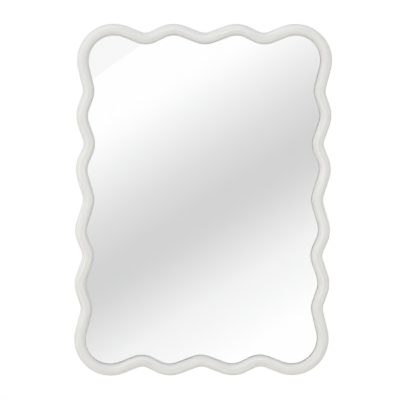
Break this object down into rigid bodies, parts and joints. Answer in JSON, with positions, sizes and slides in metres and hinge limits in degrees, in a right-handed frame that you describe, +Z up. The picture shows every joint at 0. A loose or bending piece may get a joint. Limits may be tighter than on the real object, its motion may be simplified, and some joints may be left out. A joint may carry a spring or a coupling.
{
  "type": "wavy framed wall mirror",
  "caption": "Tall wall mirror in a wavy, round-fronted painted wooden frame, with a hardboard back held by turn buttons and two swinging hanging rings.",
  "frame": {"origin": "point of the wall plane behind the middle of the mirror, where the bumpers' faces meet the wall", "axes": "+Z up, the mirror faces -Y, +Y into the wall, +X to the right seen from the front"},
  "size_m": [0.61, 0.03, 0.842],
  "materials": {
    "frame_paint": "matt off-white paint brushed over wood, grain showing faintly",
    "tenon_wood": "bare beech",
    "tape_foam": "closed cell foam tape",
    "glass": "clear float glass, ground edge",
    "silver": "silvered back of the glass",
    "film": "woven backed safety film",
    "hardboard": "brown hardboard",
    "zinc_steel": "zinc plated steel",
    "nickel_steel": "nickel plated steel",
    "bumper_rubber": "soft translucent rubber"
  },
  "bodies": {
    "frame": {"top_rail": "frame_paint", "bottom_rail": "frame_paint", "left_stile": "frame_paint", "right_stile": "frame_paint", "glazing_tape": "tape_foam", "mirror_glass": "glass", "silver_coating": "silver", "safety_film": "film", "backboard": "hardboard", "turn_button_screws": "zinc_steel", "hanger_screws": "nickel_steel", "corner_tenon_top_left": "tenon_wood", "wall_bumper_top_left": "bumper_rubber", "corner_tenon_top_right": "tenon_wood", "wall_bumper_top_right": "bumper_rubber", "corner_tenon_bottom_left": "tenon_wood", "wall_bumper_bottom_left": "bumper_rubber", "corner_tenon_bottom_right": "tenon_wood", "wall_bumper_bottom_right": "bumper_rubber", "hanger_strap_left": "nickel_steel", "hanger_strap_right": "nickel_steel"},
    "turn_button_top_left": {"turn_button_top_left": "zinc_steel"},
    "turn_button_top_right": {"turn_button_top_right": "zinc_steel"},
    "turn_button_bottom_left": {"turn_button_bottom_left": "zinc_steel"},
    "turn_button_bottom_right": {"turn_button_bottom_right": "zinc_steel"},
    "turn_button_left_upper": {"turn_button_left_upper": "zinc_steel"},
    "turn_button_left_middle": {"turn_button_left_middle": "zinc_steel"},
    "turn_button_left_lower": {"turn_button_left_lower": "zinc_steel"},
    "turn_button_right_upper": {"turn_button_right_upper": "zinc_steel"},
    "turn_button_right_middle": {"turn_button_right_middle": "zinc_steel"},
    "turn_button_right_lower": {"turn_button_right_lower": "zinc_steel"},
    "hanger_ring_left": {"hanger_ring_left": "nickel_steel"},
    "hanger_ring_right": {"hanger_ring_right": "nickel_steel"}
  },
  "joints": [
    {"name": "turn_button_top_left_turn", "type": "hinge", "parent": "frame", "child": "turn_button_top_left", "pos_m": [-0.075, -0.006, 0.41156], "axis": [0, 1, 0], "continuous": true},
    {"name": "turn_button_top_right_turn", "type": "hinge", "parent": "frame", "child": "turn_button_top_right", "pos_m": [0.075, -0.006, 0.41156], "axis": [0, 1, 0], "continuous": true},
    {"name": "turn_button_bottom_left_turn", "type": "hinge", "parent": "frame", "child": "turn_button_bottom_left", "pos_m": [-0.075, -0.006, -0.41156], "axis": [0, 1, 0], "continuous": true},
    {"name": "turn_button_bottom_right_turn", "type": "hinge", "parent": "frame", "child": "turn_button_bottom_right", "pos_m": [0.075, -0.006, -0.41156], "axis": [0, 1, 0], "continuous": true},
    {"name": "turn_button_left_upper_turn", "type": "hinge", "parent": "frame", "child": "turn_button_left_upper", "pos_m": [-0.29548, -0.006, 0.20153], "axis": [0, 1, 0], "continuous": true},
    {"name": "turn_button_left_middle_turn", "type": "hinge", "parent": "frame", "child": "turn_button_left_middle", "pos_m": [-0.27798, -0.006, 0], "axis": [0, 1, 0], "continuous": true},
    {"name": "turn_button_left_lower_turn", "type": "hinge", "parent": "frame", "child": "turn_button_left_lower", "pos_m": [-0.29548, -0.006, -0.20153], "axis": [0, 1, 0], "continuous": true},
    {"name": "turn_button_right_upper_turn", "type": "hinge", "parent": "frame", "child": "turn_button_right_upper", "pos_m": [0.29548, -0.006, 0.20153], "axis": [0, 1, 0], "continuous": true},
    {"name": "turn_button_right_middle_turn", "type": "hinge", "parent": "frame", "child": "turn_button_right_middle", "pos_m": [0.27798, -0.006, 0], "axis": [0, 1, 0], "continuous": true},
    {"name": "turn_button_right_lower_turn", "type": "hinge", "parent": "frame", "child": "turn_button_right_lower", "pos_m": [0.29548, -0.006, -0.20153], "axis": [0, 1, 0], "continuous": true},
    {"name": "hanger_ring_left_swing", "type": "hinge", "parent": "frame", "child": "hanger_ring_left", "pos_m": [-0.27798, -0.00315, 0.15053], "axis": [1, 0, 0], "range_deg": [0, 180]},
    {"name": "hanger_ring_right_swing", "type": "hinge", "parent": "frame", "child": "hanger_ring_right", "pos_m": [0.27798, -0.00315, 0.15053], "axis": [1, 0, 0], "range_deg": [0, 180]}
  ]
}
